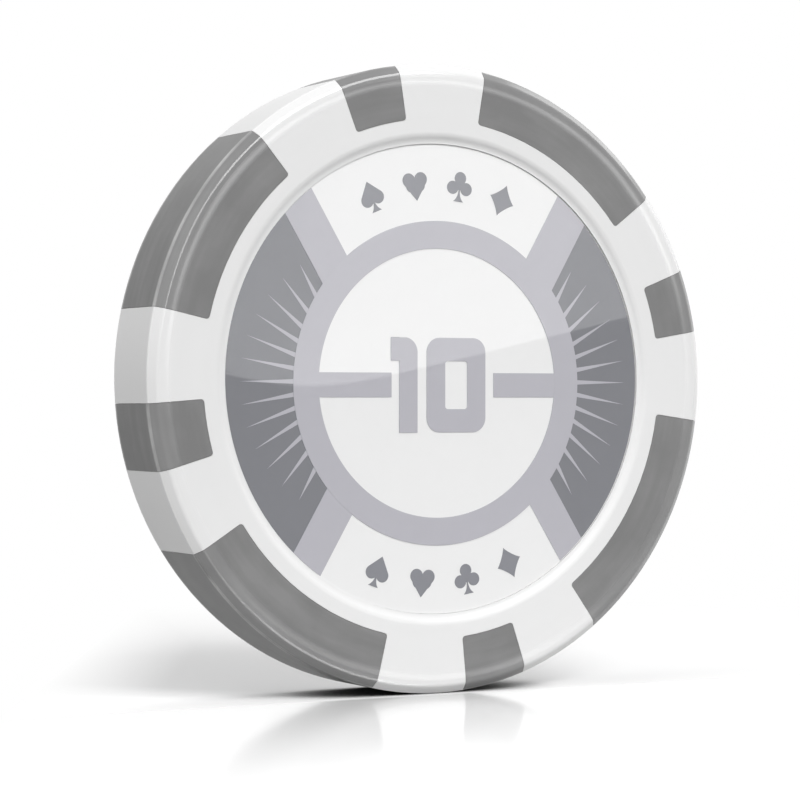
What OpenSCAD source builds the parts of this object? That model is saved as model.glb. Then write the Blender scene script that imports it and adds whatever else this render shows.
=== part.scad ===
// Poker chip, millimetres. A white disc moulded round a steel weight, with eight grey spots
// let into its edge and a printed label under clear film in each face.
//
// The chip stands on its edge: its lowest point is at the origin, +Z is up and the front
// face looks along -Y. Every piece is drawn lying flat first, with the front face up and
// the middle of the chip at zero, and stand() then sets it on its edge.

/* [Chip] */
// Diameter of the chip
chip_d = 40; // [36:0.5:46]
// Thickness over the two rim faces
chip_t = 6.2; // [5.4:0.1:7.4]

/* [Edge] */
// How far the bevel reaches in from the wall
bevel_w = 0.5; // [0.3:0.05:0.7]
// How far the bevel runs down the wall
bevel_h = 0.48; // [0.3:0.02:0.7]
// Radius that softens the corner of bevel and wall
wall_round = 0.15; // [0.05:0.01:0.2]
// Radius that softens the corner of face and bevel
face_round = 0.45; // [0.2:0.05:0.6]
// Width of the slight fall of the face before the bevel
crown_w = 0.7; // [0.4:0.05:0.9]
// Depth of that fall
crown_drop = 0.06; // [0.02:0.01:0.1]

/* [Label seat] */
// Width of the rim, from the wall to the label's seat
rim_w = 5.06; // [4.8:0.02:6]
// Gap between the label's edge and its seat
label_gap = 0.04; // [0.02:0.01:0.1]
// Thickness of the printed label
label_t = 0.25; // [0.15:0.01:0.4]
// Thickness of the clear film on the label
film_t = 0.1; // [0.05:0.01:0.2]
// How far the film lies below the rim face
label_sink = 0.24; // [0.1:0.02:0.5]
// Width of the lip that sweeps up from the label to the rim face
lip_w = 0.75; // [0.6:0.05:1]

/* [Long spots] */
// Middle of the first long spot, in degrees from +X
long_first_deg = 59; // [56:0.5:62]
// Width of each long spot, in degrees round the chip
long_span_deg = [43, 37, 44, 46]; // [32:0.5:48]
// How far each long spot has drifted from its even place, in degrees
long_drift_deg = [0, 0, -4.5, 0]; // [-5:0.5:5]

/* [Short spots] */
// Middle of the first short spot, in degrees from +X
short_first_deg = 15; // [13:0.5:17]
// Width of each short spot, in degrees round the chip
short_span_deg = [12, 12.5, 12, 13]; // [10:0.5:15]
// How far each short spot has drifted from its even place, in degrees
short_drift_deg = [0.5, 0, -4.5, -3]; // [-5:0.5:5]

/* [Spot shape] */
// How far a spot reaches in from the wall
spot_w = 3.5; // [3:0.1:3.8]
// Radius that rounds the two inner corners of a spot
spot_round = 0.2; // [0.1:0.05:0.4]
// Length of the narrow neck behind a spot
neck_w = 0.9; // [0.6:0.1:1.2]
// Length of the wide head that locks the neck in the body
head_w = 1; // [0.6:0.1:1.2]
// Thickness of neck and head
key_t = 2.2; // [1.4:0.1:2.6]
// Share of the spot's width that the neck takes up
neck_share = 0.4; // [0.3:0.05:0.5]
// Share of the spot's width that the head takes up
head_share = 0.65; // [0.6:0.05:0.8]
// Seam between a spot and the body
seam = 0.02; // [0.01:0.01:0.04]

/* [Weight] */
// How far the weight's rim lies inside the label's edge
weight_inset = 1.9; // [1.4:0.1:3]
// Thickness of the steel weight
weight_t = 2; // [1.4:0.1:2.4]
// Number of holes that the plastic fills
anchor_n = 6; // [4:1:8]
// Diameter of those holes
anchor_d = 3; // [2:0.1:3.4]
// How far their middles lie inside the weight's rim
anchor_inset = 5.5; // [5.2:0.1:6]
// Diameter of the hole in the middle of the weight
centre_d = 4; // [3:0.1:5]
// Number of notches round the weight's rim
notch_n = 4; // [2:1:6]
// Diameter of a notch
notch_d = 3; // [2:0.1:3.4]

/* [Moulding marks] */
// Number of wells in each seat, where pins of the mould held the weight
well_n = 3; // [2:1:6]
// Diameter of a well
well_d = 1.6; // [1.2:0.1:2]
// How far their middles lie inside the weight's rim
well_inset = 2.2; // [1.8:0.1:2.6]

/* [Hidden] */
chip_r = chip_d / 2;
half_t = chip_t / 2;
// Depths below the rim face
film_back = label_sink + film_t;
seat_depth = film_back + label_t;
// Radii of the label and of the outline's corners, from the middle outwards
seat_r = chip_r - rim_w;
label_r = seat_r - label_gap;
lip_r = seat_r + lip_w;
bevel_r = chip_r - bevel_w;
crown_r = bevel_r - crown_w;
// Radii of a spot and its key
spot_in_r = chip_r - spot_w;
neck_in_r = spot_in_r - neck_w;
head_in_r = neck_in_r - head_w;
// Radii of the weight and of the circles in it
weight_r = label_r - weight_inset;
anchor_ring_r = weight_r - anchor_inset;
well_ring_r = weight_r - well_inset;
// One even step round the chip, from a spot to the next of its kind
long_pitch_deg = 360 / len(long_span_deg);
short_pitch_deg = 360 / len(short_span_deg);
// Overrun of every cut past the face that it opens
over = 1;
// Pieces that a curve is drawn in, an even number
arc_steps = 6;
round_fn = 180;
hole_fn = 48;

// Sets a piece that was drawn lying flat on its edge
module stand() {
    translate([0, 0, chip_r]) rotate([90, 0, 0]) children();
}

// Unit vector from one point to another
function toward(a, b) = (b - a) / norm(b - a);

// Arc that rounds the corner at b, on the way from a to c, with radius r
function corner(a, b, c, r) =
    let (u = toward(b, a), v = toward(b, c),
         half = acos(u * v) / 2,
         middle = b + toward([0, 0], u + v) * r / sin(half),
         first = b + u * r / tan(half) - middle,
         last = b + v * r / tan(half) - middle,
         turn = atan2(first.x * last.y - first.y * last.x, first * last))
    [for (k = [0 : arc_steps])
        let (t = turn * k / arc_steps)
        middle + [first.x * cos(t) - first.y * sin(t), first.x * sin(t) + first.y * cos(t)]];

// Arc that leaves a point level, and goes w to the side and rise up
function sweep(from, w, rise) =
    let (r = (w * w + rise * rise) / (2 * abs(rise)), turn = 2 * atan(abs(rise / w)))
    [for (k = [0 : arc_steps])
        let (t = turn * k / arc_steps)
        from + r * [sign(w) * sin(t), sign(rise) * (1 - cos(t))]];

function backwards(points) = [for (k = [len(points) - 1 : -1 : 0]) points[k]];

function upside_down(points) = [for (p = points) [p.x, -p.y]];

// Front half of the lip as [radius, height], from the label's seat up to the rim face
function lip_outline() =
    concat(
        sweep([seat_r, half_t - label_sink], lip_w / 2, label_sink / 2),
        backwards(sweep([lip_r, half_t], -lip_w / 2, -label_sink / 2)));

// Front half of the edge, from the rim face over crown and bevel to the wall
function edge_outline() =
    let (crown = sweep([crown_r, half_t], crown_w, -crown_drop),
         before = crown[arc_steps / 2],
         shoulder = crown[arc_steps],
         rim = [chip_r, shoulder.y - bevel_h])
    concat(
        [for (k = [0 : arc_steps / 2]) crown[k]],
        corner(before, shoulder, rim, face_round),
        corner(shoulder, rim, [chip_r, 0], wall_round));

// Half section through both faces, closed along the given inner radius
function section(inner_r, inner_z, outline) =
    concat([[inner_r, inner_z]], outline, backwards(upside_down(outline)),
        [[inner_r, -inner_z]]);

// Section turned through span degrees, to both sides of +X
module turned(span) {
    rotate(-span / 2) rotate_extrude(angle = span, $fn = round_fn) children();
}

// Rectangle of a section, between two radii and as high to both sides of the middle
module band(inner_r, outer_r, height) {
    translate([inner_r, -height / 2]) square([outer_r - inner_r, height]);
}

// Solid of the whole outer form, with both label seats open
module chip_blank() {
    floor_z = half_t - seat_depth;
    rotate_extrude($fn = round_fn)
        polygon(section(0, floor_z, concat([[seat_r, floor_z]], lip_outline(), edge_outline())));
}

// Angle that a gap on both sides takes up at a radius
function seam_deg(gap, r) = 2 * asin(gap / r);

// Neck and head behind a spot, grown by grow; the neck runs on into the head and the spot
module key(span, grow = 0) {
    turned(span * neck_share + seam_deg(grow, neck_in_r))
        band(neck_in_r - head_w / 2, spot_in_r + spot_w / 2, key_t + 2 * grow);
    turned(span * head_share + seam_deg(grow, head_in_r))
        band(head_in_r - grow, neck_in_r + grow, key_t + 2 * grow);
}

// What rounding with radius r takes off the inner corner of a ring sector, on the side at the
// angle at. The arc runs on a little past the side and past the inner wall.
function corner_waste(at, inner_r, r) =
    let (lean = asin(r / (inner_r + r)),
         middle = (inner_r + r) * [cos(at - lean), sin(at - lean)],
         arc = [for (k = [0 : arc_steps])
             let (t = at + 90 + (90 - lean) * k / arc_steps) middle + r * [cos(t), sin(t)]])
    concat(
        [2 * arc[0] - arc[1]],
        [for (k = [1 : arc_steps - 1]) arc[k]],
        [2 * arc[arc_steps] - arc[arc_steps - 1]],
        [(inner_r - over) * [cos(at), sin(at)] + over * [-sin(at), cos(at)]]);

// Takes the two inner corners off a ring sector of that span
module round_corners(span, inner_r, r) {
    difference() {
        children();
        for (side = [0, 1]) mirror([0, side, 0])
            linear_extrude(height = chip_t + 4 * over, center = true)
                polygon(corner_waste(span / 2, inner_r, r));
    }
}

// Room that a spot and its key take up in the body, with the seam all round
module pocket(span) {
    room = span + seam_deg(seam, spot_in_r);
    round_corners(room, spot_in_r - seam, spot_round + seam)
        turned(room) band(spot_in_r - seam, chip_r + over, chip_t + 2 * over);
    key(span, seam);
}

function long_at(i) = long_first_deg + long_drift_deg[i] + i * long_pitch_deg;
function short_at(i) = short_first_deg + short_drift_deg[i] + i * short_pitch_deg;

// Spreads copies of a hole round the middle
module ring_of(count, ring_r, start = 0) {
    for (k = [0 : count - 1])
        rotate(start + 360 * k / count) translate([ring_r, 0, 0]) children();
}

// Steel disc with its holes and notches, or with a seam the room that it fills
module weight_form(seam = 0) {
    difference() {
        cylinder(r = weight_r + seam, h = weight_t + 2 * seam, center = true, $fn = round_fn);
        weight_hole(centre_d / 2 - seam);
        ring_of(anchor_n, anchor_ring_r) weight_hole(anchor_d / 2 - seam);
        ring_of(notch_n, weight_r, 180 / notch_n) weight_hole(notch_d / 2 - seam);
    }
}

module weight_hole(r) {
    cylinder(r = r, h = weight_t + 2 * over, center = true, $fn = hole_fn);
}

// White body, moulded round the weight, with a pocket for every spot
module chip_body() {
    color("whitesmoke") stand() difference() {
        chip_blank();
        weight_form(seam);
        for (i = [0 : len(long_span_deg) - 1]) rotate(long_at(i)) pocket(long_span_deg[i]);
        for (i = [0 : len(short_span_deg) - 1]) rotate(short_at(i)) pocket(short_span_deg[i]);
        for (face = [0, 1]) mirror([0, 0, face])
            ring_of(well_n, well_ring_r, 180 / well_n)
                translate([0, 0, weight_t / 2]) cylinder(d = well_d, h = half_t, $fn = hole_fn);
    }
}

module weight() {
    color("silver") stand() weight_form();
}

// One spot, with the neck and head that lock it in the body
module spot(at, span) {
    color("dimgray") stand() rotate(at) {
        round_corners(span, spot_in_r, spot_round)
            turned(span) polygon(section(spot_in_r, half_t, edge_outline()));
        key(span);
    }
}

module label() {
    color("gainsboro") stand()
        translate([0, 0, half_t - seat_depth]) cylinder(r = label_r, h = label_t, $fn = round_fn);
}

module film() {
    color("aliceblue", 0.4) stand()
        translate([0, 0, half_t - film_back]) cylinder(r = label_r, h = film_t, $fn = round_fn);
}

// The same piece in the rear face
module in_rear() {
    mirror([0, 1, 0]) children();
}

chip_body();
weight();
for (i = [0 : len(long_span_deg) - 1])
    spot(long_at(i), long_span_deg[i]);
for (i = [0 : len(short_span_deg) - 1])
    spot(short_at(i), short_span_deg[i]);
label();  // label_front
in_rear() label();  // label_rear
film();  // film_front
in_rear() film();  // film_rear
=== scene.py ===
# %% [markdown]
# # A casino chip standing on its edge
# A chip is a small sandwich: a plastic body moulded round a steel weight, spots of a second
# colour let into its edge, and on each face a printed label in a shallow seat under clear film.
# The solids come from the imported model. This lesson gives them their finishes and adds what
# plain solids leave out: the ink on the labels, a real sheet of film, a floor and soft light.

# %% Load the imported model
import math

import bmesh
import bpy
import numpy as np
from mathutils import Matrix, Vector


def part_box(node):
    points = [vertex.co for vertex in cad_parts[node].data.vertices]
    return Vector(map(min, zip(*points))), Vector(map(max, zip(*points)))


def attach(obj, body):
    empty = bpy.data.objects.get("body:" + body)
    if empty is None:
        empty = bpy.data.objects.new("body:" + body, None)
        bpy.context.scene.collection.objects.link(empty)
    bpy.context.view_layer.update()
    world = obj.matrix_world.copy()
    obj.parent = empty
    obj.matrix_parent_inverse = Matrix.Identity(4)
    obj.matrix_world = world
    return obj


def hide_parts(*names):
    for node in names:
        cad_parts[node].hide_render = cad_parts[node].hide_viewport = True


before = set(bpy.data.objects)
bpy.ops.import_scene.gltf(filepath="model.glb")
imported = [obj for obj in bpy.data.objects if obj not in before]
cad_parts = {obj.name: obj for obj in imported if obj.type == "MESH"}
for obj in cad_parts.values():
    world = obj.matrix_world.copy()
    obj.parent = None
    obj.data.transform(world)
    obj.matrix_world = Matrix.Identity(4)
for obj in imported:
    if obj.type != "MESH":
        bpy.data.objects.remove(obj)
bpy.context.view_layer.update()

print("nodes:", ", ".join(sorted(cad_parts)))

# %% [markdown]
# Blender counts in metres and a chip is thought of in millimetres, so the chip's sizes below
# are written in millimetres and turned into metres where a mesh or a node takes them. Lamps and
# the card stand further off and are placed in metres. The chip stands on its edge: its middle
# is one radius above the floor and its front face looks along -Y. Its radius and thickness are
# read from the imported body, and the depths of film, label and seat are counted from its faces.

# %% Sizes of the chip in millimetres
MM = 0.001
RIM_W, LABEL_GAP, LABEL_SINK, FILM_ROOM = 5.06, 0.04, 0.24, 0.1  # as in the part's own source
SIDES = (("front", -1), ("rear", 1))  # each face of the chip, and where it lies along Y
low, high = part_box("chip_body")
print("chip body, mm:", [round((b - a) / MM, 2) for a, b in zip(low, high)])
CHIP_R = round((high[0] - low[0]) / 2 / MM, 2)
HALF_T = round((high[1] - low[1]) / 2 / MM, 2)
SEAT_R = CHIP_R - RIM_W  # the round seat that holds label and film
LABEL_R = SEAT_R - LABEL_GAP
FILM_Y = HALF_T - LABEL_SINK  # the film's face, from the middle of the chip
LABEL_Y = FILM_Y - FILM_ROOM  # the label's face
WALL_CORNER = HALF_T - 0.61  # where the wall begins to bend to the bevel
VIEW = math.radians(28.18)  # angle between the camera's view and the chip's axis
print("radius", CHIP_R, "half thickness", HALF_T, "label's radius", round(LABEL_R, 2))

# %% [markdown]
# ## Surfaces from arrays
# Every new piece is a sheet of points with two directions, like graph paper that has been
# bent. NumPy works out all points at once, and the faces join each point to its neighbours.
# Where a shape comes to a point or closes on itself, points fall together and are merged. The
# pieces could be cut from ready-made discs, but a sheet follows any outline that has a formula,
# and its faces stay even.

# %% Quads of a grid
def grid_quads(index, wrap=False):
    """Quads of a grid of vertex numbers: each cell joins four neighbours. wrap closes the
    first direction on itself, as round a ring."""
    if wrap:
        index = np.vstack([index, index[:1]])
    return np.stack([index[:-1, :-1], index[1:, :-1], index[1:, 1:], index[:-1, 1:]], -1).reshape(-1, 4)


# %% A mesh object from points and faces
SAME_PLACE, NO_LENGTH = 2e-7, 1e-8  # metres: nearer points are merged, shorter edges taken out
CREASE = math.radians(30)  # edges sharper than this stay sharp


def new_piece(name, points, faces, material, body="root"):
    """Object with its place in its mesh: doubles are merged, faces turned outwards and shaded
    smooth up to the crease angle. points are in millimetres."""
    mesh = bpy.data.meshes.new(name)
    mesh.from_pydata((np.asarray(points, float) * MM).tolist(), [], np.asarray(faces).tolist())
    shape = bmesh.new()
    shape.from_mesh(mesh)
    bmesh.ops.remove_doubles(shape, verts=shape.verts, dist=SAME_PLACE)
    bmesh.ops.dissolve_degenerate(shape, edges=shape.edges, dist=NO_LENGTH)
    bmesh.ops.recalc_face_normals(shape, faces=shape.faces)
    shape.to_mesh(mesh)
    shape.free()
    mesh.shade_smooth()
    mesh.set_sharp_from_angle(angle=CREASE)
    mesh.materials.append(material)
    piece = bpy.data.objects.new(name, mesh)
    bpy.context.scene.collection.objects.link(piece)
    if body:
        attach(piece, body)
    return piece


# %% [markdown]
# ## Finishes
# A finish is a small recipe of nodes. The patterns read Object coordinates, in metres, so
# a detail of half a millimetre needs a noise scale near 2000. Colours are first written as
# they look on a screen, from 0 to 255, and turned into the linear values that Blender needs.

# %% Colours and the start of a finish
def tone(*levels):
    """Linear colour of screen levels from 0 to 255: one level for a grey, or three."""
    levels = levels * 3 if len(levels) == 1 else levels
    part = [v / 255 for v in levels]
    return [v / 12.92 if v < 0.04045 else ((v + 0.055) / 1.055) ** 2.4 for v in part] + [1.0]


def start_finish(name):
    """Empty finish with its nodes, its links, a shader and Object coordinates centred on the chip."""
    finish = bpy.data.materials.new(name)
    finish.use_nodes = True
    nodes, links = finish.node_tree.nodes, finish.node_tree.links
    shader = nodes["Principled BSDF"]
    place = nodes.new("ShaderNodeTexCoord")
    centred = nodes.new("ShaderNodeMapping")
    centred.inputs["Location"].default_value = (0, 0, -CHIP_R * MM)
    links.new(place.outputs["Object"], centred.inputs["Vector"])
    return finish, nodes, links, shader, centred.outputs["Vector"]


# %% [markdown]
# The finishes are built from the same few steps, so each step is a small function: it adds a
# node, gives it what goes in, and hands on what comes out.

# %% Patterns, ranges and mixes
def feed(links, value, socket):
    """Gives an input its value: by a link if the value is a socket, or else as it is."""
    if isinstance(value, bpy.types.NodeSocket):
        links.new(value, socket)
    else:
        socket.default_value = value


def add_noise(nodes, links, vector, scale, detail=3.0, rough=0.55):
    """Noise of a scale per metre, from 0 to 1 around a half."""
    noise = nodes.new("ShaderNodeTexNoise")
    noise.inputs["Scale"].default_value = scale
    noise.inputs["Detail"].default_value = detail
    noise.inputs["Roughness"].default_value = rough
    links.new(vector, noise.inputs["Vector"])
    return noise.outputs["Fac"]


def add_range(nodes, links, value, low, high, out_low, out_high):
    """Value carried from low..high to out_low..out_high, and held inside it."""
    step = nodes.new("ShaderNodeMapRange")
    given = {"Value": value, "From Min": low, "From Max": high, "To Min": out_low, "To Max": out_high}
    for key, number in given.items():
        feed(links, number, step.inputs[key])
    return step.outputs["Result"]


def add_range_mm(nodes, links, value, ends, out_low, out_high):
    """The same for a length in metres, with the two ends given in millimetres."""
    return add_range(nodes, links, value, ends[0] * MM, ends[1] * MM, out_low, out_high)


def add_mix(nodes, links, amount, first, second):
    """Colour between first and second. Each may be a colour or a socket."""
    mix = nodes.new("ShaderNodeMix")
    mix.data_type = "RGBA"
    for key, value in (("Factor", amount), (6, first), (7, second)):
        feed(links, value, mix.inputs[key])
    return mix.outputs[2]


def add_bump(nodes, links, height, strength, depth_mm, under=None):
    """Normal of a height pattern that is depth_mm deep at full strength."""
    bump = nodes.new("ShaderNodeBump")
    bump.inputs["Strength"].default_value = strength
    bump.inputs["Distance"].default_value = depth_mm * MM
    links.new(height, bump.inputs["Height"])
    if under is not None:
        links.new(under, bump.inputs["Normal"])
    return bump.outputs["Normal"]


# %% Sums of numbers and of vectors
def add_math(nodes, links, operation, *values):
    """Numbers put together by an operation. Each may be a number or a socket."""
    sum_up = nodes.new("ShaderNodeMath")
    sum_up.operation = operation
    for socket, value in zip(sum_up.inputs, values):
        feed(links, value, socket)
    return sum_up.outputs["Value"]


def add_vector_math(nodes, links, operation, *vectors):
    """Vectors put together by an operation. A length or a dot product comes out as a number."""
    sum_up = nodes.new("ShaderNodeVectorMath")
    sum_up.operation = operation
    for socket, vector in zip(sum_up.inputs, vectors):
        feed(links, vector, socket)
    return sum_up.outputs["Value" if operation in ("LENGTH", "DOT_PRODUCT") else "Vector"]


# %% Distances from the chip's axis
def add_radius(nodes, links, vector):
    """Vector without its part along the chip's axis, its length, and the part along the axis."""
    flat = add_vector_math(nodes, links, "MULTIPLY", vector, (1, 0, 1))
    parts = nodes.new("ShaderNodeSeparateXYZ")
    links.new(vector, parts.inputs["Vector"])
    return flat, add_vector_math(nodes, links, "LENGTH", flat), parts.outputs["Y"]


def add_round_streaks(nodes, links, vector, long_mm, thin_mm):
    """Noise drawn out round the chip: the direction from the middle changes slowly, and the
    distance from the middle and the depth change fast, so streaks run along the circle."""
    flat, radius, along = add_radius(nodes, links, vector)
    across = add_math(nodes, links, "ADD", radius, along)
    lift = nodes.new("ShaderNodeCombineXYZ")
    links.new(add_math(nodes, links, "MULTIPLY", across, 1 / (thin_mm * MM)), lift.inputs["Y"])
    heading = add_vector_math(nodes, links, "NORMALIZE", flat)
    slow = add_vector_math(nodes, links, "MULTIPLY", heading, (CHIP_R / long_mm,) * 3)
    total = add_vector_math(nodes, links, "ADD", slow, lift.outputs["Vector"])
    return add_noise(nodes, links, total, 1.0, detail=2.0)


# %% [markdown]
# ### Moulded plastic
# Both colours of the body are shot into one mould, so they share one finish: a very fine
# unevenness that breaks up reflections, and flow marks where the melt ran round the mould. Use
# changes it. The bevel is worn smooth by fingers and by the next chip in the stack, so it
# mirrors more sharply than the face, while the wall stays matt. Along the corner where wall and
# bevel meet, a painted highlight is mixed into the colour: a paler line that comes and goes, in
# place of the light that the rounded corner would catch. All this could be painted as a picture
# and wrapped round the chip. Noise and distances in the chip's own coordinates do it without a
# seam, and they fit body and spots alike.

# %% The painted highlight on the corner
POLISH_BEGINS = (18.6, 18.9)  # distances from the axis between which the face turns glossy
POLISH_ENDS = (19.88, 19.95)  # and between which the bevel turns matt again
# The painted highlight: a pale tone mixed into the colour along the corner, where light would catch.
HIGHLIGHT_WAY = (0.05, 0.22)  # distances from the corner between which the pale line fades
HIGHLIGHT_TONE, HIGHLIGHT_SHARE = tone(232), 0.5
HIGHLIGHT_LEAN = 2.0  # the line fades this much faster on the bevel than on the wall
print("the corner lies", round(WALL_CORNER, 2), "mm from the middle of the chip")


def painted_corner_highlight(nodes, links, radius, along, clouds):
    """Share of the painted highlight, a pale line: the larger of the ways from the corner along
    wall and bevel, turned into a share that fades out, times the clouds, so that the line comes and goes."""
    depth = add_math(nodes, links, "ABSOLUTE", along)
    from_corner = add_math(nodes, links, "SUBTRACT", depth, WALL_CORNER * MM)
    on_wall = add_math(nodes, links, "ABSOLUTE", from_corner)
    below_wall = add_math(nodes, links, "SUBTRACT", CHIP_R * MM, radius)
    on_bevel = add_math(nodes, links, "MULTIPLY", below_wall, HIGHLIGHT_LEAN)
    way = add_math(nodes, links, "MAXIMUM", on_wall, on_bevel)
    share = add_range_mm(nodes, links, way, HIGHLIGHT_WAY, HIGHLIGHT_SHARE, 0.0)
    patches = add_range(nodes, links, clouds, 0.35, 0.6, 0.3, 1.0)
    return add_math(nodes, links, "MULTIPLY", share, patches)


# %% Moulded plastic
STREAK_LONG, STREAK_THIN = 9.0, 0.9  # mm along the circle and across it
CLOUD_SCALE, GRAIN_SCALE = 260, 5200  # per metre
SMOOTHER = 0.4  # share of the face's roughness that the bevel keeps
WALL_SHINE, FACE_SHINE, BEVEL_SHINE = 0.08, 0.25, 0.65  # the last is added to that of the face


def moulded_plastic(name, pale, dark, roughness, mark):
    """Colour between two close tones, drawn out in streaks of strength mark round the chip. The
    bevel has two fifths of the face's roughness and shines more."""
    finish, nodes, links, shader, vector = start_finish(name)
    streaks = add_round_streaks(nodes, links, vector, STREAK_LONG, STREAK_THIN)
    clouds = add_noise(nodes, links, vector, CLOUD_SCALE, detail=4.0)
    both = add_math(nodes, links, "MULTIPLY", streaks, clouds)
    melt = add_mix(nodes, links, add_range(nodes, links, both, 0.16, 0.42, 0.0, mark), dark, pale)
    _, radius, along = add_radius(nodes, links, vector)
    # A pale line painted along the corner as a highlight is mixed into the colour.
    corner_highlight = painted_corner_highlight(nodes, links, radius, along, clouds)
    links.new(add_mix(nodes, links, corner_highlight, melt, HIGHLIGHT_TONE), shader.inputs["Base Color"])
    off_face = add_range_mm(nodes, links, radius, POLISH_BEGINS, 0.0, 1.0)
    off_wall = add_range_mm(nodes, links, radius, POLISH_ENDS, 1.0, 0.0)
    bevel = add_math(nodes, links, "MULTIPLY", off_face, off_wall)
    gloss = add_range(nodes, links, streaks, 0.3, 0.75, roughness - 0.04 * mark, roughness + 0.06 * mark)
    smoother = add_range(nodes, links, bevel, 0.0, 1.0, 1.0, SMOOTHER)
    links.new(add_math(nodes, links, "MULTIPLY", gloss, smoother), shader.inputs["Roughness"])
    matt = add_range(nodes, links, off_wall, 0.0, 1.0, WALL_SHINE, FACE_SHINE)
    shine = add_range(nodes, links, bevel, 0.0, 1.0, 0.0, BEVEL_SHINE)
    links.new(add_math(nodes, links, "ADD", matt, shine), shader.inputs["Specular IOR Level"])
    wave = add_bump(nodes, links, clouds, 0.25 * mark, 0.012)
    grain = add_noise(nodes, links, vector, GRAIN_SCALE, detail=2.0)
    links.new(add_bump(nodes, links, grain, 0.12, 0.003, wave), shader.inputs["Normal"])
    return finish


white_plastic = moulded_plastic("white_moulded_plastic", tone(229), tone(226), 0.34, 0.4)
grey_plastic = moulded_plastic("grey_moulded_plastic", tone(134), tone(119), 0.32, 0.85)
print("finishes:", white_plastic.name, grey_plastic.name)

# %% [markdown]
# ### Stamped steel
# The weight is punched from sheet. Rolling leaves fine lines in one direction, so a noise is
# stretched along one axis and drives both roughness and a very shallow bump. The weight shows
# only when the chip is cut open, so nothing finer is needed.

# %% Stamped steel
def stamped_steel(name):
    """Metal with rolling lines: noise squeezed fifty times in one direction."""
    finish, nodes, links, shader, vector = start_finish(name)
    squeezed = add_vector_math(nodes, links, "MULTIPLY", vector, (1.0, 1.0, 50.0))
    lines = add_noise(nodes, links, squeezed, 220, detail=4.0)
    stain = add_noise(nodes, links, vector, 300)
    metal = add_mix(nodes, links, stain, tone(176, 178, 180), tone(196, 197, 198))
    links.new(metal, shader.inputs["Base Color"])
    links.new(add_range(nodes, links, lines, 0.3, 0.7, 0.28, 0.45), shader.inputs["Roughness"])
    links.new(add_bump(nodes, links, lines, 0.3, 0.004), shader.inputs["Normal"])
    shader.inputs["Metallic"].default_value = 1.0
    return finish


steel = stamped_steel("stamped_steel")
print("finish:", steel.name)

# %% [markdown]
# ### Label stock and ink
# The label is coated paper. It is smoother than writing paper but its fibres still show as
# faint clouds. Ink lies on it in thin even layers that follow the fibres, so the ink finish
# has the same bump and a fine speckle where the layer is thinner. Seen head on, the film over
# them is a faint mirror. That mirror is given to paper and ink as a clear coat, which comes out
# smooth, while a sheet that only now and then reflects a ray leaves a grain on the print.

# %% Label stock and ink
PAPER_ROUGHNESS, SPECK_SHARE, FILM_ROUGHNESS = 0.5, 0.25, 0.015


def printed(name, main, speck):
    """Flat tone with fine specks of a second tone and the shallow relief of paper fibres."""
    finish, nodes, links, shader, vector = start_finish(name)
    fibres = add_noise(nodes, links, vector, 1300, detail=2.5, rough=0.6)
    clouds = add_noise(nodes, links, vector, 190, detail=2.0)
    both = add_math(nodes, links, "ADD", fibres, clouds)
    amount = add_range(nodes, links, both, 0.75, 1.3, 0.0, SPECK_SHARE)
    links.new(add_mix(nodes, links, amount, main, speck), shader.inputs["Base Color"])
    rough = add_range(nodes, links, fibres, 0.3, 0.7, PAPER_ROUGHNESS - 0.06, PAPER_ROUGHNESS + 0.06)
    links.new(rough, shader.inputs["Roughness"])
    links.new(add_bump(nodes, links, fibres, 0.03, 0.001), shader.inputs["Normal"])
    shader.inputs["Specular IOR Level"].default_value = 0.0  # ink and paper are wetted by the film's glue
    shader.inputs["Coat Weight"].default_value = 1.0
    shader.inputs["Coat Roughness"].default_value = FILM_ROUGHNESS
    return finish


label_stock = printed("label_stock", tone(231), tone(227))
light_ink = printed("light_grey_ink", tone(177, 176, 183), tone(182, 181, 188))
dark_ink = printed("dark_grey_ink", tone(121, 122, 127), tone(126, 127, 132))
suit_ink = printed("suit_grey_ink", tone(131, 132, 138), tone(137, 138, 144))
print("paper and inks:", ", ".join(f.name for f in (label_stock, light_ink, dark_ink, suit_ink)))

# %% [markdown]
# ### Clear film
# The film is a thin clear sheet, so light passes it unbent. It is a mix of a see-through
# shader and a glossy one. Fresnel sets the share: nearly everything shines back at a glancing
# look. Head on, the share starts from nothing, because there the coat on paper and ink mirrors
# in its place. Only the outer side may shine, or the back of the sheet would mirror the front.
# A glass finish would bend the light twice and leave the print under it in shade.

# %% Clear film
FILM_IOR, HEAD_ON = 1.5, 0.06  # up to this Fresnel share the coat below does the mirroring


def add_shader_mix(nodes, links, amount, first, second):
    """Shader between first and second."""
    mix = nodes.new("ShaderNodeMixShader")
    for socket, value in zip(mix.inputs, (amount, first, second)):
        links.new(value, socket)
    return mix.outputs["Shader"]


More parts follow.
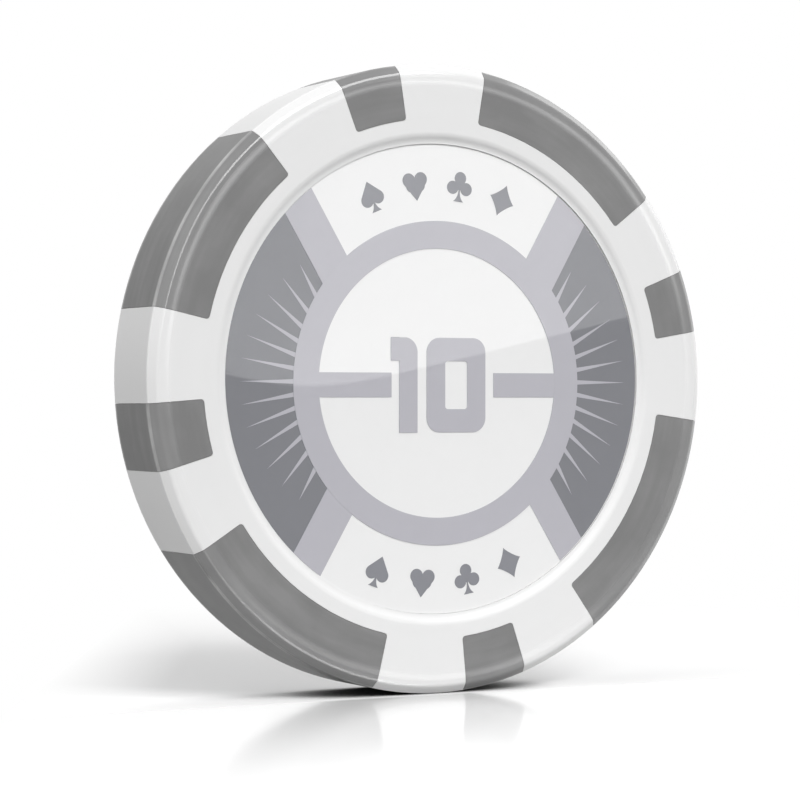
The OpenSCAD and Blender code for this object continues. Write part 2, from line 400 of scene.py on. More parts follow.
def clear_sheet(name):
    """Transparent and glossy, mixed by Fresnel on the outer side. Fine scuffs change the gloss."""
    finish, nodes, links, shader, vector = start_finish(name)
    nodes.remove(shader)
    clear = nodes.new("ShaderNodeBsdfTransparent")
    gloss = nodes.new("ShaderNodeBsdfGlossy")
    gloss.inputs["Color"].default_value = (1, 1, 1, 1)
    scuffs = add_noise(nodes, links, vector, 420, detail=5.0)
    links.new(add_range(nodes, links, scuffs, 0.35, 0.75, FILM_ROUGHNESS, 0.06), gloss.inputs["Roughness"])
    wave = add_noise(nodes, links, vector, 60, detail=1.0)
    links.new(add_bump(nodes, links, wave, 0.2, 0.02), gloss.inputs["Normal"])
    mirror = nodes.new("ShaderNodeFresnel")
    mirror.inputs["IOR"].default_value = FILM_IOR
    side = nodes.new("ShaderNodeNewGeometry")
    outer = add_math(nodes, links, "SUBTRACT", 1.0, side.outputs["Backfacing"])
    glancing = add_range(nodes, links, mirror.outputs["Fac"], HEAD_ON, 1.0, 0.0, 1.0)
    share = add_math(nodes, links, "MULTIPLY", glancing, outer)
    sheet = add_shader_mix(nodes, links, share, clear.outputs["BSDF"], gloss.outputs["BSDF"])
    links.new(sheet, nodes["Material Output"].inputs["Surface"])
    return finish


clear_film = clear_sheet("clear_film")
print("finishes made:", len(bpy.data.materials))

# %% [markdown]
# ## The solids from the model
# Body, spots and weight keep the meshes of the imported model, which are exact, and get their
# materials. Labels and films get theirs too, but a sheet of their own is drawn for them below.

# %% Finish the solids
for name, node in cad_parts.items():
    finish = (
        grey_plastic if "_spot_" in name
        else steel if name == "weight"
        else label_stock if name.startswith("label_")
        else clear_film if name.startswith("film_")
        else white_plastic
    )
    node.material_slots[0].material = finish
    print(name, "->", finish.name)

# %% [markdown]
# ## The label
# A label is punched a hair smaller than its seat, but glue and pressure spread it until no
# gap shows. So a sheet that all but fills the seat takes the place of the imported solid, whose
# own gap would draw a dark ring. Its profile is carried round the axis of the chip, and its cut
# edge is slightly rounded.

# %% Turn a profile round the axis
SHEET_R = SEAT_R - 0.012  # all but fills the seat
FLAT_TO, NEAR_EDGE = 7.0, np.array([0.2, 0.1])  # rings that keep the face quite flat
AROUND = 240  # points on each circle


def turned(radius, depth):
    """Points on circles round the chip's axis: radius and depth go along the profile."""
    angle = np.arange(AROUND)[:, None] * 2 * np.pi / AROUND
    x = radius[None, :] * np.cos(angle)
    z = CHIP_R + radius[None, :] * np.sin(angle)
    points = np.stack([x, np.broadcast_to(depth[None, :], x.shape), z], -1).reshape(-1, 3)
    return points, grid_quads(np.arange(x.size).reshape(x.shape), wrap=True)


def round_sheet(name, material, node, sign, face, back, soft):
    """Disc between the depths back and face, with a rounded edge of radius soft on its face: a
    quarter circle joins the face to the cut edge."""
    bend = np.linspace(0, np.pi / 2, 5)
    rounded = SHEET_R - soft + soft * np.sin(bend)
    radius = np.concatenate([[0, FLAT_TO], SHEET_R - NEAR_EDGE, rounded, [SHEET_R, 0]])
    depth = np.concatenate([[face] * 4, face - soft + soft * np.cos(bend), [back] * 2])
    points, faces = turned(radius, sign * depth)
    sheet = new_piece(name, points, faces, material)
    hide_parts(node)
    print(name, "radius", round(SHEET_R, 3), "mm, thick", round(face - back, 3), "mm")


# %% Both labels
LABEL_T, LABEL_SOFT = 0.25, 0.01
for side, sign in SIDES:
    round_sheet(f"{side}_label_sheet", label_stock, f"label_{side}", sign,
                LABEL_Y, LABEL_Y - LABEL_T, LABEL_SOFT)

# %% [markdown]
# ## The print
# A printer lays down one ink after another, and lets neighbours overlap by a hair so that no
# paper shows between them. The same is done here: each shape is a thin slab a few hundredths
# of a millimetre thick at most, and the inks step up one above the other. The design is a
# common one for chips: a ring with a value in it, a cross of bands, rays, and the four suits of
# a pack of cards. It sits a little below the middle of the label, as prints often do. A picture
# laid on the label would do from afar, but slabs keep their edges sharp at any distance.

# %% The slab that every printed shape is made of
PRINT_X, PRINT_Z = 0.05, -0.27  # middle of the print from the middle of the label
COAT = {"dark": 0.012, "ray": 0.020, "light": 0.028, "top": 0.036}  # height of each ink above the label
COAT_BACK = 0.004  # height of a slab's back above the label
TRAP = 0.06  # overlap of neighbouring inks
printed_pieces = []


def slab(x, z, y_face, y_back, wrap=False):
    """Points and faces of a closed slab over the grid x[u, v], z[u, v]: the grid at two
    depths, joined by walls along its open borders."""
    face = np.stack([x, np.full_like(x, y_face), z], -1).reshape(-1, 3)
    back = np.stack([x, np.full_like(x, y_back), z], -1).reshape(-1, 3)
    index = np.arange(x.size).reshape(x.shape)
    borders = [index[:, 0], index[:, -1]] + ([] if wrap else [index[0], index[-1]])
    walls = [grid_quads(np.stack([line, line + x.size], -1), wrap) for line in borders]
    faces = np.vstack([grid_quads(index, wrap), grid_quads(index + x.size, wrap)[:, ::-1], *walls])
    return np.vstack([face, back]), faces


def print_shape(name, x, z, coat, ink, wrap=False):
    """The same shape on both labels. The rear one is turned half round the upright axis, so
    that it reads the right way round from behind."""
    x, z = np.broadcast_arrays(np.asarray(x, float), np.asarray(z, float))
    for side, sign in SIDES:
        y_face, y_back = sign * (LABEL_Y + COAT[coat]), sign * (LABEL_Y + COAT_BACK)
        points, faces = slab(-sign * x, z + CHIP_R, y_face, y_back, wrap)
        printed_pieces.append(new_piece(f"{side}_{name}", points, faces, ink))


# %% [markdown]
# The ring is the simplest sheet: an angle goes round and a radius goes across.

# %% Ring round the value
RING_IN, RING_OUT = 8.56, 10.32
turn = np.radians(np.arange(0, 360, 1.0))[:, None]
radius = np.linspace(RING_IN, RING_OUT, 3)[None, :]
x, z = PRINT_X + radius * np.cos(turn), PRINT_Z + radius * np.sin(turn)
print_shape("ring", x, z, "top", light_ink, wrap=True)
print("ring", RING_IN, "to", RING_OUT, "mm")

# %% [markdown]
# Four bands run from the ring to the label's edge, two and two in line, like a cross. Each
# band is bounded by two parallel lines. Where a line meets a circle follows from Pythagoras:
# half the chord is the root of radius squared less distance squared.

# %% Where a line leaves a circle
EDGE_R = LABEL_R - 0.02


def leave_circle(x, z, heading, middle_x, middle_z, radius):
    """Distance along a line from x, z in direction heading to where it leaves a circle."""
    dx, dz = np.cos(heading), np.sin(heading)
    along = (middle_x - x) * dx + (middle_z - z) * dz
    off = (middle_x - x) * dz - (middle_z - z) * dx
    return along + np.sqrt(np.maximum(radius**2 - off**2, 0))


# %% The four bands
BANDS = {  # direction in degrees, and how far the near and the far edge lie beside the middle
    "band_top_left": (121.0, 1.55, 3.92),
    "band_top_right": (60.0, -1.55, -4.22),
    "band_bottom_left": (-120.5, -1.18, -3.53),
    "band_bottom_right": (-58.2, 1.58, 3.71),
}


def band_line(heading_deg, beside):
    """A point beside the print's middle, and the heading, of one edge of a band."""
    heading = np.radians(heading_deg)
    return PRINT_X - beside * np.sin(heading), PRINT_Z + beside * np.cos(heading), heading


for name, (heading_deg, near, far) in BANDS.items():
    x, z, heading = band_line(heading_deg, np.linspace(near, far, 5)[:, None])
    start = leave_circle(x, z, heading, PRINT_X, PRINT_Z, RING_OUT - TRAP)
    end = leave_circle(x, z, heading, 0.0, 0.0, EDGE_R)
    reach = start + (end - start) * np.linspace(0, 1, 5)[None, :]
    print_shape(name, x + reach * np.cos(heading), z + reach * np.sin(heading), "light", light_ink)
print("bands:", len(BANDS))

# %% [markdown]
# Between the bands, left and right, lies a dark field. Its inner border is the ring and its
# outer border the label's edge, which have different middles. The circles between them slide
# from one to the other, and on each the field reaches from one band to the next.

# %% The two dark fields
def dark_field(name, upper, lower):
    """Grid over circles that grow from the ring to the label's edge. Round each, the angle
    runs from the far edge of the lower band to that of the upper one."""
    grow = np.linspace(0, 1, 25)[None, :]
    middle_x, middle_z = PRINT_X * (1 - grow), PRINT_Z * (1 - grow)
    radius = (RING_OUT - TRAP) * (1 - grow) + EDGE_R * grow
    ends = []
    for heading_deg, _, far in (BANDS[lower], BANDS[upper]):
        x, z, heading = band_line(heading_deg, far - np.sign(far) * TRAP)
        reach = leave_circle(x, z, heading, middle_x, middle_z, radius)
        rise, run = z + reach * np.sin(heading) - middle_z, x + reach * np.cos(heading) - middle_x
        ends.append(np.arctan2(rise, run))
    first, last = ends
    last = np.where(last < first, last + 2 * np.pi, last)
    angle = first + (last - first) * np.linspace(0, 1, 61)[:, None]
    x, z = middle_x + radius * np.cos(angle), middle_z + radius * np.sin(angle)
    print_shape(name, x, z, "dark", dark_ink)


dark_field("field_right", "band_top_right", "band_bottom_right")
dark_field("field_left", "band_bottom_left", "band_top_left")

# %% [markdown]
# Thirteen fine rays stand on the ring in each dark field, ten degrees apart. They spread from
# a hub within the ring. A ray is a needle: its width falls from the ring to nothing at the
# tip, and the middle rays are the longest.

# %% The rays
RAY_STEP, RAY_BASE, HUB_X, HUB_Z = 10.0, 0.29, 5.67, PRINT_Z + 0.08
RAYS_BESIDE = 6  # rays above the level one, and below it
TIP_R, TIP_FALL = 13.98, 1.7  # where the level ray ends, and how much shorter the outermost one is


def ray(name, hub_x, angle_deg, tip_r):
    """Needle along a line from the hub, from the ring to the circle of radius tip_r. Its half
    width shrinks with the distance run."""
    angle = np.radians(angle_deg)
    base = leave_circle(hub_x, HUB_Z, angle, PRINT_X, PRINT_Z, RING_OUT - TRAP)
    tip = leave_circle(hub_x, HUB_Z, angle, PRINT_X, PRINT_Z, tip_r)
    run = np.linspace(0, 1, 9)[None, :]
    side = np.linspace(-1, 1, 3)[:, None] * RAY_BASE / 2 * (1 - run)
    reach = base + (tip - base) * run
    x = hub_x + reach * np.cos(angle) - side * np.sin(angle)
    z = HUB_Z + reach * np.sin(angle) + side * np.cos(angle)
    print_shape(name, x, z, "ray", light_ink)


for k in range(-RAYS_BESIDE, RAYS_BESIDE + 1):
    tip_r = TIP_R - TIP_FALL * (k / RAYS_BESIDE) ** 2
    ray(f"ray_right_{k + RAYS_BESIDE + 1}", PRINT_X + HUB_X, k * RAY_STEP, tip_r)
    ray(f"ray_left_{k + RAYS_BESIDE + 1}", PRINT_X - HUB_X, 180 + k * RAY_STEP, tip_r)
print("rays:", 2 * (2 * RAYS_BESIDE + 1))

# %% [markdown]
# The value stands between two bars. The nought is a frame: a rounded rectangle round a
# smaller one. A corner is a quarter circle whose middle is drawn in from the corner, and
# the straight sides come by themselves between one quarter and the next.

# %% The nought
VALUE_Z, NOUGHT_X = -0.39, 1.289
NOUGHT_OUTSIDE = (2.145, 3.01, 0.92)  # half its width, half its height, and its corners' radius
NOUGHT_INSIDE = (0.805, 1.53, 0.19)


def rounded_frame(half_w, half_h, corner, quarter=9):
    """Outline of a rounded rectangle: the corner's middle plus the corner's radius turned."""
    turn = np.linspace(0, np.pi / 2, quarter)
    angle = np.concatenate([turn + k * np.pi / 2 for k in range(4)])
    middle = np.repeat(np.pi / 4 + np.arange(4) * np.pi / 2, quarter)
    x = np.sign(np.cos(middle)) * (half_w - corner) + corner * np.cos(angle)
    z = np.sign(np.sin(middle)) * (half_h - corner) + corner * np.sin(angle)
    return x, z


outer_x, outer_z = rounded_frame(*NOUGHT_OUTSIDE)
inner_x, inner_z = rounded_frame(*NOUGHT_INSIDE)
across = np.linspace(0, 1, 3)[None, :]
x = NOUGHT_X + outer_x[:, None] * across + inner_x[:, None] * (1 - across)
z = VALUE_Z + outer_z[:, None] * across + inner_z[:, None] * (1 - across)
print_shape("nought", x, z, "top", light_ink, wrap=True)

# %% [markdown]
# The one is a post with a flag. Row by row, it reaches from its left side to its right side.
# The left side jumps out at the flag, and the right side curves in at the top.

# %% The one
POST_L, POST_R, FLAG_L, FLAG_Z = -2.836, -1.521, -3.429, 1.53
ONE_H, ROUND = 3.02, 0.95
curve_rows = ONE_H - ROUND + ROUND * np.sin(np.linspace(0, np.pi / 2, 10))
rows = np.concatenate([[-ONE_H, FLAG_Z, FLAG_Z], curve_rows])
left = np.where(np.arange(len(rows)) < 2, POST_L, FLAG_L)
bend = np.maximum(rows - (ONE_H - ROUND), 0)
right = POST_R - ROUND + np.sqrt(ROUND**2 - bend**2)
x = np.stack([left, np.full_like(rows, POST_L), right], -1)
print_shape("one", x, VALUE_Z + rows[:, None], "top", light_ink)
print("value", 2 * ONE_H, "mm high")

# %% The bars
BAR_H, LEFT_BAR_END, RIGHT_BAR_END = 0.78, -3.38, 4.03  # half a bar's height, and the ends by the value
height = VALUE_Z + np.linspace(-BAR_H, BAR_H, 5)[:, None]
inside = np.sqrt((RING_IN + TRAP) ** 2 - (height - PRINT_Z) ** 2)
share = np.linspace(0, 1, 3)[None, :]
for name, ring_end, value_end in (("left", -inside, LEFT_BAR_END), ("right", inside, RIGHT_BAR_END)):
    x = (PRINT_X + ring_end) * (1 - share) + value_end * share
    print_shape(f"bar_{name}", x, height, "light", light_ink)
print("bars", 2 * BAR_H, "mm high")

# %% [markdown]
# ## The four suits
# Each suit is star shaped: a ray from its middle leaves it only once. So one function of the
# angle describes it, the longest way a ray runs before it leaves any of the suit's circles
# and straight-sided parts. Rings of points between the middle and that border fill it. A suit
# is about two millimetres high.

# %% How far a ray runs
def leave_disc(angle, x, z, radius):
    """Distance from the middle to where a ray leaves a disc, or nothing where it misses."""
    along = x * np.cos(angle) + z * np.sin(angle)
    room = radius**2 - (x**2 + z**2 - along**2)
    return np.where(room > 0, np.maximum(along + np.sqrt(np.maximum(room, 0)), 0), 0)


def leave_corners(angle, corners, level=1e-6):
    """Distance to where a ray leaves a shape of straight sides that holds the middle: the
    nearest of the lines through its sides. The corners go round against the clock. Below
    level, a ray counts as running beside a side."""
    corners = np.asarray(corners, float)
    side = np.roll(corners, -1, axis=0) - corners
    outward = np.stack([side[:, 1], -side[:, 0]], -1) / np.linalg.norm(side, axis=1)[:, None]
    toward = outward[:, :1] * np.cos(angle) + outward[:, 1:] * np.sin(angle)
    offset = (corners * outward).sum(1)[:, None]
    return np.where(toward > level, offset / np.maximum(toward, level), np.inf).min(0)


# %% [markdown]
# A heart is two discs over a kite that draws them down to a point, and a spade is the same
# upside down. The kite's long sides touch the discs, so disc and side run into each other
# without a kink. A club is three discs, and a diamond a single curve.

# %% The borders of the suits
def tangent_point(x, z, radius, tip):
    """Where the straight line from a tip on the suit's axis touches a disc on its right."""
    away = math.hypot(x, z - tip)
    lean = math.atan2(z - tip, x) - math.copysign(math.asin(radius / away), z - tip)
    run = math.sqrt(away**2 - radius**2)
    return run * math.cos(lean), tip + run * math.sin(lean)


def heart(angle):
    """Two discs side by side over the kite that draws them down to a point. The discs and
    two more beside the kite give its sides their belly."""
    disc_x, disc_z, disc_r, tip, notch = 0.43, 0.34, 0.45, -1.0, 0.36
    belly_x, belly_z, belly_r = 0.24, -0.02, 0.44
    x, z = tangent_point(disc_x, disc_z, disc_r, tip)
    kite = leave_corners(angle, [(0, tip), (x, z), (0, notch), (-x, z)])
    discs = [leave_disc(angle, s * disc_x, disc_z, disc_r) for s in (-1, 1)]
    bellies = [leave_disc(angle, s * belly_x, belly_z, belly_r) for s in (-1, 1)]
    return np.max([*discs, *bellies, kite], axis=0)


def spade(angle):
    """The heart upside down, without bellies. Its foot is printed by itself."""
    disc_x, disc_z, disc_r, tip, notch = 0.40, -0.14, 0.43, 1.0, -0.2
    x, z = tangent_point(disc_x, disc_z, disc_r, tip)
    kite = leave_corners(angle, [(0, tip), (-x, z), (0, notch), (x, z)])
    discs = [leave_disc(angle, s * disc_x, disc_z, disc_r) for s in (-1, 1)]
    return np.max([*discs, kite], axis=0)


def club(angle):
    """Three discs round a small one. It stands on the same foot."""
    leaf_r, heart_r = 0.42, 0.24
    leaves = [leave_disc(angle, x, z, leaf_r) for x, z in ((0, 0.52), (-0.49, -0.12), (0.49, -0.12))]
    return np.max([*leaves, leave_disc(angle, 0, 0, heart_r)], axis=0)


def diamond(angle):
    """Curve on which a power of the width share and of the height share add up to one."""
    half_w, half_h, power = 0.92, 1.05, 0.85
    share = np.abs(np.cos(angle) / half_w) ** power + np.abs(np.sin(angle) / half_h) ** power
    return share ** (-1 / power)


# %% [markdown]
# The top row stands on an arc with its tops outwards. In the bottom row the tops point to
# the middle, so that both rows are upright when the chip is. Spade and club stand on a foot,
# which no single ray describes, so it is a shape of its own in the same ink.

# %% Two rows of suits
SUITS = (("spade", spade), ("heart", heart), ("club", club), ("diamond", diamond))
SUIT_R = 12.65  # the arc on which their middles lie
TOP_FIRST, TOP_STEP = 112.4, -14.6  # degrees: place of the first suit, and the way to the next
BOTTOM_FIRST, BOTTOM_STEP = -110.4, 14.8
FOOT_NECK, FOOT_FLARE, FOOT_POWER = 0.05, 0.31, 3.2
FOOT_TOP, FOOT_H = -0.1, 0.88


def print_foot(name, at, up):
    """Rows from the suit's middle down to a level base: half the width is a thin neck plus a
    part that grows with a power of the way down, so the sides curve in."""
    down = np.linspace(0, 1, 9)[:, None]
    x = (FOOT_NECK + FOOT_FLARE * down**FOOT_POWER) * np.linspace(-1, 1, 3)[None, :]
    z = FOOT_TOP - FOOT_H * down + 0 * x
    lean = up - np.pi / 2
    place_x = PRINT_X + SUIT_R * np.cos(at) + x * np.cos(lean) - z * np.sin(lean)
    place_z = PRINT_Z + SUIT_R * np.sin(at) + x * np.sin(lean) + z * np.cos(lean)
    print_shape(name, place_x, place_z, "ray", suit_ink)


def print_suit(name, border, at_deg, top_out):
    """Rings of points round the suit's place on the arc, turned so that its top points out
    from the middle of the print, or towards it."""
    at = np.radians(at_deg)
    up = at if top_out else at + np.pi
    angle = np.radians(np.arange(0, 360, 1.5))[:, None]
    reach = border(angle[:, 0])[:, None] * np.linspace(0, 1, 4)[None, :]
    heading = angle + up - np.pi / 2
    x = PRINT_X + SUIT_R * np.cos(at) + reach * np.cos(heading)
    z = PRINT_Z + SUIT_R * np.sin(at) + reach * np.sin(heading)
    print_shape(name, x, z, "dark", suit_ink, wrap=True)
    if border in (spade, club):
        print_foot(f"{name}_foot", at, up)


for k, (name, border) in enumerate(SUITS):
    print_suit(f"{name}_top", border, TOP_FIRST + TOP_STEP * k, True)
    print_suit(f"{name}_bottom", border, BOTTOM_FIRST + BOTTOM_STEP * k, False)
print("printed pieces:", len(printed_pieces))

# %% [markdown]
# ## The film
# The film is cut like the label and lies on it, above the ink. Varnish would need no sheet of
# its own, but a film has a cut edge that shows close up, so it is such a sheet as well.

# %% Both films
FILM_T, FILM_SOFT = 0.045, 0.02
for side, sign in SIDES:
    round_sheet(f"{side}_film_sheet", clear_film, f"film_{side}", sign,
                FILM_Y, FILM_Y - FILM_T, FILM_SOFT)

# %% [markdown]
# ## Floor
# A white sweep table: it takes the chip's shadow and, in front of the chip, a faint mirror
# image that fades with distance. Its paint is plain white to anyone who looks at it, and grey
# to light that bounces, or the table would light the chip's underside too strongly. In the gap
# where the chip touches it, shade is painted: the paint darkens, more on the left than on the
# right, because the lamps behind reach in on the right. Behind a line along the chip's front
# face that slants off to the left, the paint is a tenth darker as painted shadow, which deepens
# the chip's shadow there. Far away, and close by on the left, the table fades into plain white
# light, so no horizon shows and the shadow ends softly.

# %% Looks and bounces
def add_seen(nodes, links):
    """1 for a look, from the camera, in a mirror or through a clear sheet, and 0 for light that
    bounces on its way."""
    path = nodes.new("ShaderNodeLightPath")
    seen = add_math(nodes, links, "MAXIMUM", path.outputs["Is Camera Ray"], path.outputs["Is Glossy Ray"])
    return add_math(nodes, links, "MAXIMUM", seen, path.outputs["Is Transmission Ray"])


# %% Paint of the floor, with painted shade
# Painted shade: the paint darkens in the gap under the chip, and behind the chip as painted shadow.
GAP_REACH = 3.0  # mm within which something above darkens the paint
GAP_X, GAP_PAINTED_SHADE = (-1, 6), (0.03, 0.42)  # x in mm of two places, and the darkest paint at each
BORDER_Y, SHADOW_PAINT_LEVEL = (-8, -3), 0.9  # y in mm between which the paint turns darker, and how dark it gets
SLANT, SLANT_FROM = 1.2, -4.0  # the border runs back by this much per mm to the left of that place
BOUNCE_TONE = (0.4, 0.4, 0.4, 1)  # the paint that bounced light meets


def floor_paint(nodes, links, x, y, seen):
    """White with painted shade: times the share of open sky over the paint, which starts darker on
    the left. Behind a line that follows the front face and then slants off to the left it is a
    tenth darker, as painted shadow."""
    # Painted shade in the gap under the chip, from the share of open sky.
    painted_gap_shade = nodes.new("ShaderNodeAmbientOcclusion")
    painted_gap_shade.samples = 8
    painted_gap_shade.inputs["Distance"].default_value = GAP_REACH * MM
    slant = add_math(nodes, links, "MULTIPLY_ADD", x, SLANT, -SLANT * SLANT_FROM * MM)
    line = add_math(nodes, links, "ADD", add_math(nodes, links, "MINIMUM", slant, 0.0), y)
    # Painted shadow behind the chip: the paint is a tenth darker there.
    painted_shadow_behind = add_range_mm(nodes, links, line, BORDER_Y, 1.0, SHADOW_PAINT_LEVEL)
    darkest = add_range_mm(nodes, links, x, GAP_X, *GAP_PAINTED_SHADE)
    painted_shade_level = add_range(nodes, links, painted_gap_shade.outputs["AO"], 0.12, 0.55, darkest, 1.0)
    painted_shade_level = add_math(nodes, links, "MULTIPLY", painted_shade_level, painted_shadow_behind)
    white = add_mix(nodes, links, painted_shade_level, (0, 0, 0, 1), (1, 1, 1, 1))
    return add_mix(nodes, links, seen, BOUNCE_TONE, white)


# %% Mirror image and far light
POLISH = 0.54  # share of the mirror image, right at the chip
POLISH_END_Y, POLISH_FADE_Y = (-3.8, -3), (-48, -6)  # y in mm: where it ends, and where it grows
FAR_FADE, LEFT_FADE = (35, 75), (16.5, 24.5)  # mm from the chip's middle
LEFT_OF_VIEW = (-math.cos(VIEW), math.sin(VIEW), 0)


def mirror_share(nodes, links, y, seen):
    """Share of the mirror image: none under and behind the chip, most just in front of it, and
    less and less further ahead. Light that bounces meets none of it."""
    in_front = add_range_mm(nodes, links, y, POLISH_END_Y, 1.0, 0.0)
    near = add_range_mm(nodes, links, y, POLISH_FADE_Y, 0.0, POLISH)
    return add_math(nodes, links, "MULTIPLY", add_math(nodes, links, "MULTIPLY", in_front, near), seen)


def plain_share(nodes, links, vector):
    """Share of plain white light: the larger of two fades, one with the distance from the chip
    and one with the distance to its left as the camera sees it."""
    level = add_vector_math(nodes, links, "MULTIPLY", vector, (1, 1, 0))
    away = add_vector_math(nodes, links, "LENGTH", level)
    around = add_range_mm(nodes, links, away, FAR_FADE, 0.0, 1.0)
    leftward = add_vector_math(nodes, links, "DOT_PRODUCT", vector, LEFT_OF_VIEW)
    beside = add_range_mm(nodes, links, leftward, LEFT_FADE, 0.0, 1.0)
    return add_math(nodes, links, "MAXIMUM", around, beside)


# %% Floor finish
def white_table(name):
    """Diffuse white with a faint gloss near the chip, and plain white light far from it."""
    finish, nodes, links, shader, vector = start_finish(name)
    nodes.remove(shader)
    parts = nodes.new("ShaderNodeSeparateXYZ")
    links.new(vector, parts.inputs["Vector"])
    x, y = parts.outputs["X"], parts.outputs["Y"]
    seen = add_seen(nodes, links)
    matt = nodes.new("ShaderNodeBsdfDiffuse")
    links.new(floor_paint(nodes, links, x, y, seen), matt.inputs["Color"])
    gloss = nodes.new("ShaderNodeBsdfGlossy")
    gloss.inputs["Color"].default_value = (1, 1, 1, 1)
    haze = add_noise(nodes, links, vector, 40, detail=2.0)
    links.new(add_range(nodes, links, haze, 0.3, 0.7, 0.10, 0.14), gloss.inputs["Roughness"])
    glow = nodes.new("ShaderNodeEmission")
    links.new(seen, glow.inputs["Strength"])
    share = mirror_share(nodes, links, y, seen)
    table = add_shader_mix(nodes, links, share, matt.outputs["BSDF"], gloss.outputs["BSDF"])
    whole = add_shader_mix(nodes, links, plain_share(nodes, links, vector), table, glow.outputs["Emission"])
    links.new(whole, nodes["Material Output"].inputs["Surface"])
    return finish


# %% Floor
FLOOR_HALF = 2500  # mm
span = np.linspace(-FLOOR_HALF, FLOOR_HALF, 9)
x, y = np.meshgrid(span, span, indexing="ij")
points = np.stack([x, y, np.zeros_like(x)], -1).reshape(-1, 3)
faces = grid_quads(np.arange(x.size).reshape(x.shape))
floor = new_piece("floor", points, faces, white_table("white_table"), body=None)
print("floor at z =", round(floor.bound_box[0][2], 5), "m")

# %% [markdown]
# ## Light
# A round room of soft white light fills the shadows. A large card in front of the chip lifts
# the face, and the label mirrors it: its curved lower edge is the line that crosses the print.
# The key light is a softbox in front and above. One on the left lights the wall, one behind on
# the right draws the far edge, and a strip in front draws the lower bevel. A strong lamp beside
# the one behind lifts the shadow on the table. Mirrored at a glancing angle in the chip's wall
# it would be as white as the room and eat into the outline, so glossy surfaces don't see it.

# %% World
ROOM = 0.52  # brightness that lights the object; cameras and mirrors see white
world = bpy.data.worlds.new("studio")
bpy.context.scene.world = world
world.use_nodes = True
nodes, links = world.node_tree.nodes, world.node_tree.links
nodes.clear()
room = nodes.new("ShaderNodeBackground")
room.inputs["Color"].default_value = (1, 1, 1, 1)
level = add_range(nodes, links, add_seen(nodes, links), 0.0, 1.0, ROOM, 1.0)
links.new(level, room.inputs["Strength"])
out = nodes.new("ShaderNodeOutputWorld")
links.new(room.outputs["Background"], out.inputs["Surface"])
print("room light", ROOM)

# %% Softboxes
CHIP_MIDDLE = np.array([0.0, 0.0, CHIP_R * MM])


def aim(thing, place, forward):
    """Puts thing at place and turns its -Z axis along forward, with its Y axis upwards."""
    forward = np.asarray(forward, float) / np.linalg.norm(forward)
    right = np.cross(forward, (0, 0, 1))
    right /= np.linalg.norm(right)
    up = np.cross(right, forward)
    rows = np.vstack([np.column_stack([right, up, -forward, place]), [0, 0, 0, 1]])
    thing.matrix_world = Matrix(rows.tolist())


def softbox(name, direction, distance, width, height, brightness):
    """Rectangular lamp that looks at the chip's middle. Its power is brightness times pi times
    its area, so a mirror would show it as brightness, where 1 is white. Sizes in metres."""
    direction = np.asarray(direction, float) / np.linalg.norm(direction)
    lamp = bpy.data.lights.new(name, "AREA")
    lamp.shape = "RECTANGLE"
    lamp.size, lamp.size_y = width, height
    lamp.energy = brightness * math.pi * width * height
    thing = bpy.data.objects.new(name, lamp)
    bpy.context.scene.collection.objects.link(thing)
    aim(thing, CHIP_MIDDLE + direction * distance, -direction)
    print(name, "brightness", brightness, "power", round(lamp.energy, 3), "W")
    return thing


softbox("softbox_key", (0.2, -0.8, 0.7), 0.4, 0.23, 0.23, 5.6)
softbox("softbox_left", (-0.9, -0.05, 0.16), 0.6, 0.3, 0.3, 5.0)
softbox("softbox_behind_right", (0.8, 0.2, 0.57), 0.6, 0.25, 0.25, 1.2)
floor_lamp = softbox("softbox_for_floor", (0.75, 0.35, 0.57), 0.6, 0.25, 0.25, 4.2)
floor_lamp.visible_glossy = False
softbox("strip_front", (-0.2, -0.88, 0.43), 0.5, 0.10, 0.3, 5.0)

# %% [markdown]
# The card stands where the camera, looking into the label as into a mirror, sees it. Its lower
# edge dips and rises again, and the label shows that as a soft sweep across the print.

# %% The card in front
CARD_AWAY, CARD_HALF_W, CARD_TOP, CARD_GLOW = 0.6, 0.13, 0.15, 3.2
VALLEY, VALLEY_Z = -0.029, 0.0225  # the edge's lowest place, along the card, and its height
BEND, SLOPE = 0.014, 0.255  # how softly it bends there, and how steeply it rises further off
toward_card = np.array([math.sin(VIEW), -math.cos(VIEW), 0.0])
along_card = np.array([math.cos(VIEW), math.sin(VIEW), 0.0])


def card_edge(side):
    """Height of the card's lower edge: a soft valley, which is the root of the squared way
    from its lowest place plus a squared bend, times a slope."""
    return VALLEY_Z + SLOPE * (np.sqrt((side - VALLEY) ** 2 + BEND**2) - BEND)


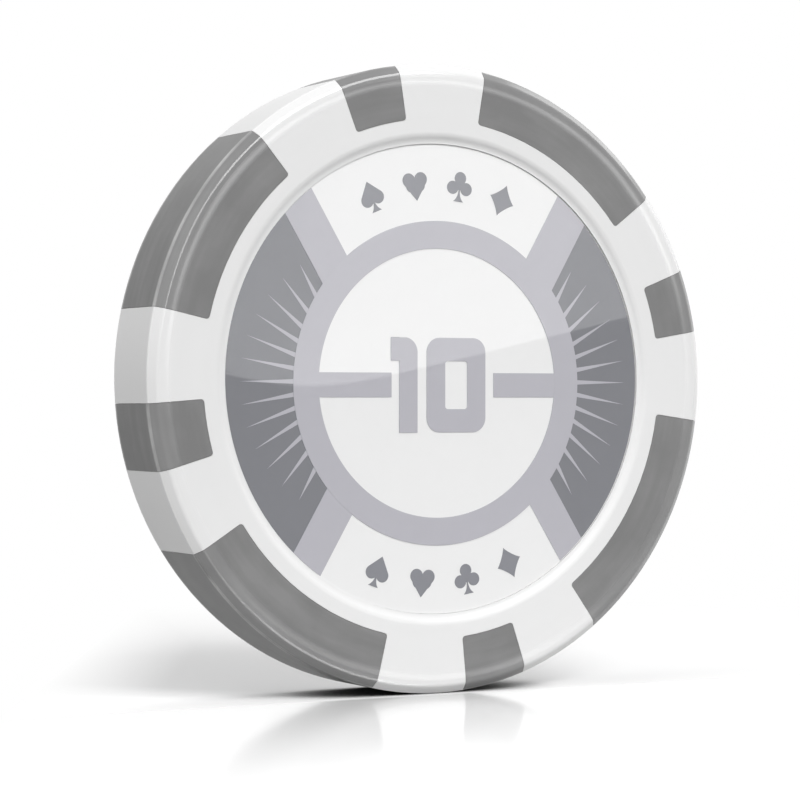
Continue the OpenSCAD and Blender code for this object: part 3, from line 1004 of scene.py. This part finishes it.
side = np.linspace(-CARD_HALF_W, CARD_HALF_W, 105)[:, None]
height = np.linspace(0, 1, 9)[None, :]
z = card_edge(side) * (1 - height) + CARD_TOP * height
place = toward_card * CARD_AWAY
x = place[0] + side * along_card[0] + 0 * z
y = place[1] + side * along_card[1] + 0 * z
points = np.stack([x, y, z], -1).reshape(-1, 3) / MM
glow = bpy.data.materials.new("card_light")
glow.use_nodes = True
nodes, links = glow.node_tree.nodes, glow.node_tree.links
nodes.clear()
lamp = nodes.new("ShaderNodeEmission")
lamp.inputs["Strength"].default_value = CARD_GLOW
end = nodes.new("ShaderNodeOutputMaterial")
links.new(lamp.outputs["Emission"], end.inputs["Surface"])
card = new_piece("front_card", points, grid_quads(np.arange(z.size).reshape(z.shape)), glow, body=None)
card.visible_camera = False
print("card", round(float(z.min()), 3), "to", round(float(z.max()), 3), "m high")

# %% [markdown]
# ## Camera
# The camera looks level, a little below the middle of the chip, with a long lens from 17 cm:
# the near rim is a touch larger than the far one, as in the picture. Its place is counted in
# chip radii from the middle of the front face, because a picture gives no other scale.

# %% Camera
CAMERA_LEFT, CAMERA_DOWN, CAMERA_BACK = 0.1299, 0.0670, 8.716  # in chip radii
SENSOR, FOCAL_PX, WIDTH_PX = 36.0, 2745, 800  # sensor in mm, focal length and picture in pixels
forward = np.array([math.sin(VIEW), math.cos(VIEW), 0.0])
rightward = np.array([math.cos(VIEW), -math.sin(VIEW), 0.0])
upward = np.array([0.0, 0.0, 1.0])
from_face = CAMERA_LEFT * rightward + CAMERA_DOWN * upward + CAMERA_BACK * forward
place = (np.array([0.0, -HALF_T, CHIP_R]) - CHIP_R * from_face) * MM
lens = bpy.data.cameras.new("camera")
lens.sensor_width = SENSOR
lens.lens = FOCAL_PX / WIDTH_PX * SENSOR
lens.clip_start = 0.01
camera = bpy.data.objects.new("camera", lens)
bpy.context.scene.collection.objects.link(camera)
aim(camera, place, forward)
bpy.context.scene.camera = camera
bpy.context.scene.view_settings.view_transform = "Standard"
print("camera at, mm:", np.round(place / MM, 2), "lens", round(lens.lens, 2))
